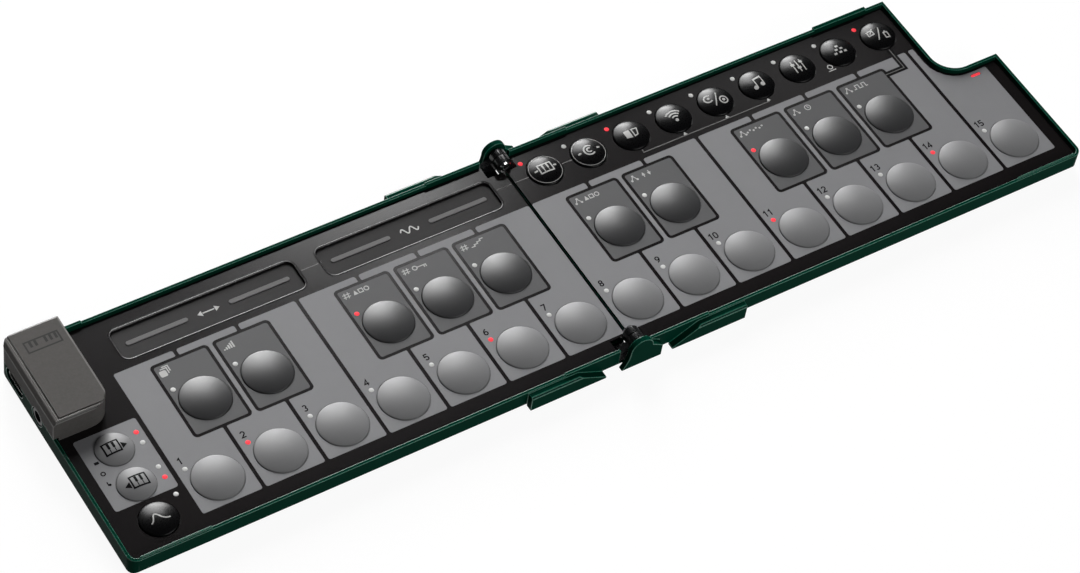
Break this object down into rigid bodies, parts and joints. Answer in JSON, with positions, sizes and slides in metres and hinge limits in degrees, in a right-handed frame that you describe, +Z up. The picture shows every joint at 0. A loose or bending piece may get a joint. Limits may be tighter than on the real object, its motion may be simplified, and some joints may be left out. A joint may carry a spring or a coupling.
{
  "type": "folding MIDI keyboard controller",
  "caption": "Pocket keyboard controller of two shallow trays on a fold hinge, with domed press caps, touch strips, function buttons and a raised port block.",
  "frame": {"origin": "bottom centre of the open keyboard: on the fold line, mid depth, at the soles of the feet", "axes": "+X along the keys from low to high, +Y from the player to the rear, +Z up"},
  "size_m": [0.33, 0.0848, 0.0146],
  "materials": {
    "case_green": "moulded ABS, polished, dark green",
    "panel_black": "satin black sheet with printed key fields",
    "key_grey": "satin grey moulded cap",
    "key_dark": "satin dark grey moulded cap",
    "button_black": "polished black moulded cap",
    "block_grey": "fine textured charcoal plastic",
    "board": "glass-fibre board with green solder mask",
    "contact_mat": "silicone contact mat",
    "touch_pad": "polished black touch pad",
    "light_pipe": "milky acrylic light pipe",
    "cell": "foil pouch",
    "socket_steel": "drawn steel shell",
    "jack_black": "moulded jack body",
    "bracket_black": "black coated hinge bracket",
    "pin_chrome": "polished hinge pin",
    "screw_steel": "zinc plated screw",
    "foot_rubber": "rubber foot"
  },
  "bodies": {
    "left_half": {"left_case": "case_green", "left_board": "board", "left_mat": "contact_mat", "left_panel": "panel_black", "pitch_strip": "touch_pad", "mod_strip": "touch_pad", "left_light_pipes": "light_pipe", "block_cover": "block_grey", "battery": "cell", "usb_socket": "socket_steel", "jack_socket": "jack_black", "left_hinge_brackets": "bracket_black", "left_screws": "screw_steel", "left_feet": "foot_rubber"},
    "right_half": {"right_case": "case_green", "right_board": "board", "right_mat": "contact_mat", "right_panel": "panel_black", "right_light_pipes": "light_pipe", "right_hinge_brackets": "bracket_black", "hinge_pins": "pin_chrome", "right_screws": "screw_steel", "right_feet": "foot_rubber"},
    "white_key_1_body": {"white_key_1": "key_grey"},
    "white_key_2_body": {"white_key_2": "key_grey"},
    "white_key_3_body": {"white_key_3": "key_grey"},
    "white_key_4_body": {"white_key_4": "key_grey"},
    "white_key_5_body": {"white_key_5": "key_grey"},
    "white_key_6_body": {"white_key_6": "key_grey"},
    "white_key_7_body": {"white_key_7": "key_grey"},
    "white_key_8_body": {"white_key_8": "key_grey"},
    "white_key_9_body": {"white_key_9": "key_grey"},
    "white_key_10_body": {"white_key_10": "key_grey"},
    "white_key_11_body": {"white_key_11": "key_grey"},
    "white_key_12_body": {"white_key_12": "key_grey"},
    "white_key_13_body": {"white_key_13": "key_grey"},
    "white_key_14_body": {"white_key_14": "key_grey"},
    "white_key_15_body": {"white_key_15": "key_grey"},
    "black_key_1_body": {"black_key_1": "key_dark"},
    "black_key_2_body": {"black_key_2": "key_dark"},
    "black_key_3_body": {"black_key_3": "key_dark"},
    "black_key_4_body": {"black_key_4": "key_dark"},
    "black_key_5_body": {"black_key_5": "key_dark"},
    "black_key_6_body": {"black_key_6": "key_dark"},
    "black_key_7_body": {"black_key_7": "key_dark"},
    "black_key_8_body": {"black_key_8": "key_dark"},
    "black_key_9_body": {"black_key_9": "key_dark"},
    "black_key_10_body": {"black_key_10": "key_dark"},
    "function_1_body": {"function_1": "button_black"},
    "function_2_body": {"function_2": "button_black"},
    "function_3_body": {"function_3": "button_black"},
    "function_4_body": {"function_4": "button_black"},
    "function_5_body": {"function_5": "button_black"},
    "function_6_body": {"function_6": "button_black"},
    "function_7_body": {"function_7": "button_black"},
    "function_8_body": {"function_8": "button_black"},
    "function_9_body": {"function_9": "button_black"},
    "curve_button_body": {"curve_button": "button_black"},
    "octave_down_body": {"octave_down": "key_grey"},
    "octave_up_body": {"octave_up": "key_grey"}
  },
  "joints": [
    {"name": "fold", "type": "hinge", "parent": "left_half", "child": "right_half", "pos_m": [0, 0, 0.0082], "axis": [0, -1, 0], "range_deg": [0, 180]},
    {"name": "press_white_key_1", "type": "slide", "parent": "left_half", "child": "white_key_1_body", "axis": [0, 0, -1], "range_m": [0, 0.0007], "stiffness_N_per_m": 300, "springref_m": -0.001},
    {"name": "press_white_key_2", "type": "slide", "parent": "left_half", "child": "white_key_2_body", "axis": [0, 0, -1], "range_m": [0, 0.0007], "stiffness_N_per_m": 300, "springref_m": -0.001},
    {"name": "press_white_key_3", "type": "slide", "parent": "left_half", "child": "white_key_3_body", "axis": [0, 0, -1], "range_m": [0, 0.0007], "stiffness_N_per_m": 300, "springref_m": -0.001},
    {"name": "press_white_key_4", "type": "slide", "parent": "left_half", "child": "white_key_4_body", "axis": [0, 0, -1], "range_m": [0, 0.0007], "stiffness_N_per_m": 300, "springref_m": -0.001},
    {"name": "press_white_key_5", "type": "slide", "parent": "left_half", "child": "white_key_5_body", "axis": [0, 0, -1], "range_m": [0, 0.0007], "stiffness_N_per_m": 300, "springref_m": -0.001},
    {"name": "press_white_key_6", "type": "slide", "parent": "left_half", "child": "white_key_6_body", "axis": [0, 0, -1], "range_m": [0, 0.0007], "stiffness_N_per_m": 300, "springref_m": -0.001},
    {"name": "press_white_key_7", "type": "slide", "parent": "left_half", "child": "white_key_7_body", "axis": [0, 0, -1], "range_m": [0, 0.0007], "stiffness_N_per_m": 300, "springref_m": -0.001},
    {"name": "press_white_key_8", "type": "slide", "parent": "right_half", "child": "white_key_8_body", "axis": [0, 0, -1], "range_m": [0, 0.0007], "stiffness_N_per_m": 300, "springref_m": -0.001},
    {"name": "press_white_key_9", "type": "slide", "parent": "right_half", "child": "white_key_9_body", "axis": [0, 0, -1], "range_m": [0, 0.0007], "stiffness_N_per_m": 300, "springref_m": -0.001},
    {"name": "press_white_key_10", "type": "slide", "parent": "right_half", "child": "white_key_10_body", "axis": [0, 0, -1], "range_m": [0, 0.0007], "stiffness_N_per_m": 300, "springref_m": -0.001},
    {"name": "press_white_key_11", "type": "slide", "parent": "right_half", "child": "white_key_11_body", "axis": [0, 0, -1], "range_m": [0, 0.0007], "stiffness_N_per_m": 300, "springref_m": -0.001},
    {"name": "press_white_key_12", "type": "slide", "parent": "right_half", "child": "white_key_12_body", "axis": [0, 0, -1], "range_m": [0, 0.0007], "stiffness_N_per_m": 300, "springref_m": -0.001},
    {"name": "press_white_key_13", "type": "slide", "parent": "right_half", "child": "white_key_13_body", "axis": [0, 0, -1], "range_m": [0, 0.0007], "stiffness_N_per_m": 300, "springref_m": -0.001},
    {"name": "press_white_key_14", "type": "slide", "parent": "right_half", "child": "white_key_14_body", "axis": [0, 0, -1], "range_m": [0, 0.0007], "stiffness_N_per_m": 300, "springref_m": -0.001},
    {"name": "press_white_key_15", "type": "slide", "parent": "right_half", "child": "white_key_15_body", "axis": [0, 0, -1], "range_m": [0, 0.0007], "stiffness_N_per_m": 300, "springref_m": -0.001},
    {"name": "press_black_key_1", "type": "slide", "parent": "left_half", "child": "black_key_1_body", "axis": [0, 0, -1], "range_m": [0, 0.0007], "stiffness_N_per_m": 300, "springref_m": -0.001},
    {"name": "press_black_key_2", "type": "slide", "parent": "left_half", "child": "black_key_2_body", "axis": [0, 0, -1], "range_m": [0, 0.0007], "stiffness_N_per_m": 300, "springref_m": -0.001},
    {"name": "press_black_key_3", "type": "slide", "parent": "left_half", "child": "black_key_3_body", "axis": [0, 0, -1], "range_m": [0, 0.0007], "stiffness_N_per_m": 300, "springref_m": -0.001},
    {"name": "press_black_key_4", "type": "slide", "parent": "left_half", "child": "black_key_4_body", "axis": [0, 0, -1], "range_m": [0, 0.0007], "stiffness_N_per_m": 300, "springref_m": -0.001},
    {"name": "press_black_key_5", "type": "slide", "parent": "left_half", "child": "black_key_5_body", "axis": [0, 0, -1], "range_m": [0, 0.0007], "stiffness_N_per_m": 300, "springref_m": -0.001},
    {"name": "press_black_key_6", "type": "slide", "parent": "right_half", "child": "black_key_6_body", "axis": [0, 0, -1], "range_m": [0, 0.0007], "stiffness_N_per_m": 300, "springref_m": -0.001},
    {"name": "press_black_key_7", "type": "slide", "parent": "right_half", "child": "black_key_7_body", "axis": [0, 0, -1], "range_m": [0, 0.0007], "stiffness_N_per_m": 300, "springref_m": -0.001},
    {"name": "press_black_key_8", "type": "slide", "parent": "right_half", "child": "black_key_8_body", "axis": [0, 0, -1], "range_m": [0, 0.0007], "stiffness_N_per_m": 300, "springref_m": -0.001},
    {"name": "press_black_key_9", "type": "slide", "parent": "right_half", "child": "black_key_9_body", "axis": [0, 0, -1], "range_m": [0, 0.0007], "stiffness_N_per_m": 300, "springref_m": -0.001},
    {"name": "press_black_key_10", "type": "slide", "parent": "right_half", "child": "black_key_10_body", "axis": [0, 0, -1], "range_m": [0, 0.0007], "stiffness_N_per_m": 300, "springref_m": -0.001},
    {"name": "press_function_1", "type": "slide", "parent": "right_half", "child": "function_1_body", "axis": [0, 0, -1], "range_m": [0, 0.0007], "stiffness_N_per_m": 300, "springref_m": -0.001},
    {"name": "press_function_2", "type": "slide", "parent": "right_half", "child": "function_2_body", "axis": [0, 0, -1], "range_m": [0, 0.0007], "stiffness_N_per_m": 300, "springref_m": -0.001},
    {"name": "press_function_3", "type": "slide", "parent": "right_half", "child": "function_3_body", "axis": [0, 0, -1], "range_m": [0, 0.0007], "stiffness_N_per_m": 300, "springref_m": -0.001},
    {"name": "press_function_4", "type": "slide", "parent": "right_half", "child": "function_4_body", "axis": [0, 0, -1], "range_m": [0, 0.0007], "stiffness_N_per_m": 300, "springref_m": -0.001},
    {"name": "press_function_5", "type": "slide", "parent": "right_half", "child": "function_5_body", "axis": [0, 0, -1], "range_m": [0, 0.0007], "stiffness_N_per_m": 300, "springref_m": -0.001},
    {"name": "press_function_6", "type": "slide", "parent": "right_half", "child": "function_6_body", "axis": [0, 0, -1], "range_m": [0, 0.0007], "stiffness_N_per_m": 300, "springref_m": -0.001},
    {"name": "press_function_7", "type": "slide", "parent": "right_half", "child": "function_7_body", "axis": [0, 0, -1], "range_m": [0, 0.0007], "stiffness_N_per_m": 300, "springref_m": -0.001},
    {"name": "press_function_8", "type": "slide", "parent": "right_half", "child": "function_8_body", "axis": [0, 0, -1], "range_m": [0, 0.0007], "stiffness_N_per_m": 300, "springref_m": -0.001},
    {"name": "press_function_9", "type": "slide", "parent": "right_half", "child": "function_9_body", "axis": [0, 0, -1], "range_m": [0, 0.0007], "stiffness_N_per_m": 300, "springref_m": -0.001},
    {"name": "press_curve_button", "type": "slide", "parent": "left_half", "child": "curve_button_body", "axis": [0, 0, -1], "range_m": [0, 0.0007], "stiffness_N_per_m": 300, "springref_m": -0.001},
    {"name": "press_octave_down", "type": "slide", "parent": "left_half", "child": "octave_down_body", "axis": [0, 0, -1], "range_m": [0, 0.0007], "stiffness_N_per_m": 300, "springref_m": -0.001},
    {"name": "press_octave_up", "type": "slide", "parent": "left_half", "child": "octave_up_body", "axis": [0, 0, -1], "range_m": [0, 0.0007], "stiffness_N_per_m": 300, "springref_m": -0.001}
  ]
}
